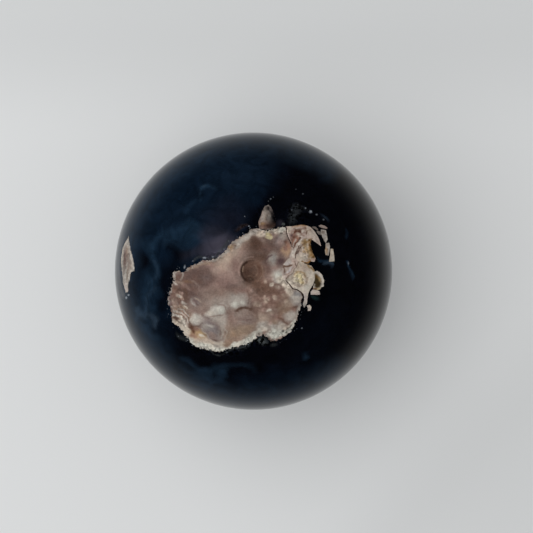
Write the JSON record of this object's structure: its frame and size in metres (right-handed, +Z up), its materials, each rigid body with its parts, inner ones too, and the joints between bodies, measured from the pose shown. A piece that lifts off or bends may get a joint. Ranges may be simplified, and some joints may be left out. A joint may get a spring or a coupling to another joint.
{
  "type": "polished volcano agate ball",
  "caption": "Polished ball of dark blue-black volcano agate with an exposed cream and pink-brown lining on top, standing on a small flat spot.",
  "frame": {"origin": "middle of the small flat spot that the ball rests on, which is the middle of the bottom of its bounding box", "axes": "+Z up through the ball's centre, towards the exposed lining; +Y towards the small triangle marking above the lining; +X towards the broken fragments at the lining's right"},
  "size_m": [0.06, 0.06, 0.0588],
  "materials": {
    "agate": "high polish on dark blue-black chalcedony; the cream, mauve and brown lining is polished too, slightly softer"
  },
  "bodies": {
    "root": {"stone": "agate"}
  },
  "joints": []
}
